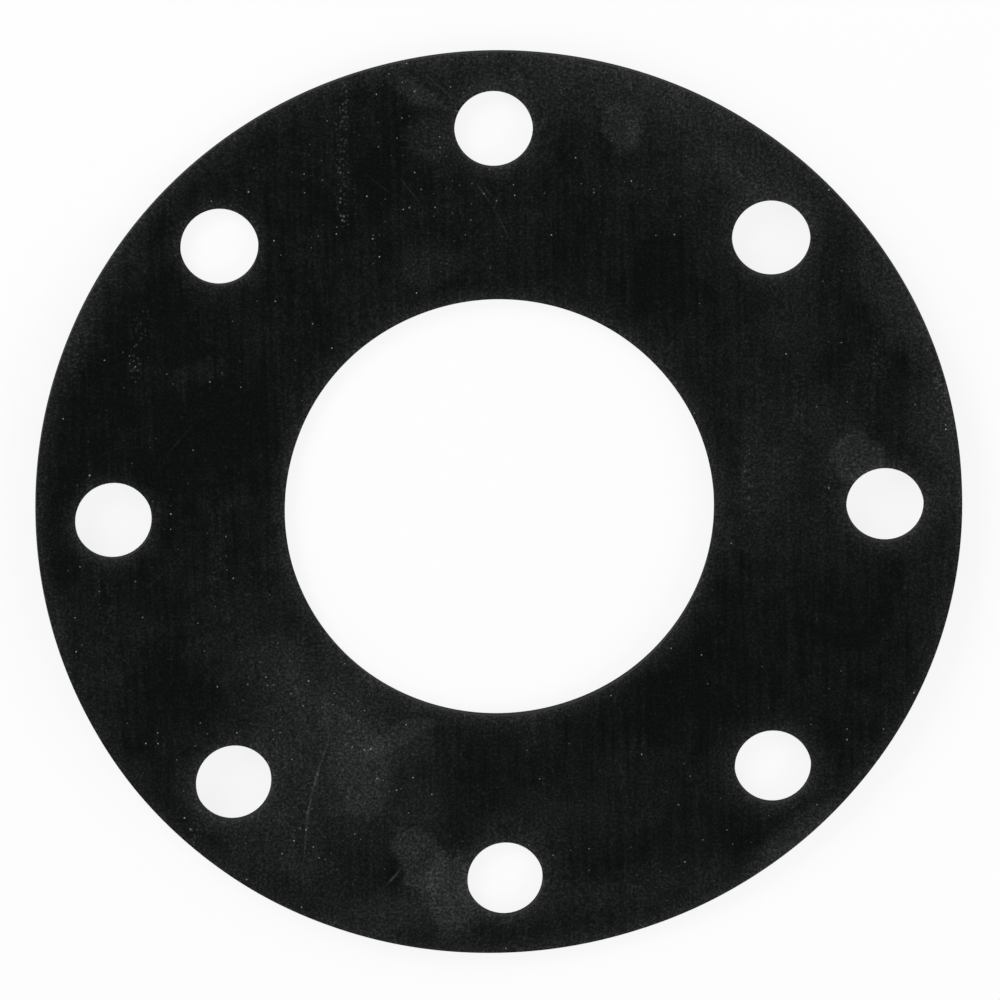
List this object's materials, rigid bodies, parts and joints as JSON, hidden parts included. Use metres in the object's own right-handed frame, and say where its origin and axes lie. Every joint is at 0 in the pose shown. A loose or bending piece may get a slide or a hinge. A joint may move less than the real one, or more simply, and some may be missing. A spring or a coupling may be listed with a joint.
{
  "type": "rubber flange gasket",
  "caption": "Flat full-face rubber ring that seals two pipe flanges, with a round bore in the middle and a circle of bolt holes near its rim.",
  "frame": {"origin": "centre of the bore on the lower face", "axes": "+Z out of the upper face, +X through the centre of a bolt hole"},
  "size_m": [0.2286, 0.2286, 0.0032],
  "materials": {
    "rubber": "matte, dusty"
  },
  "bodies": {
    "root": {"gasket": "rubber"}
  },
  "joints": []
}
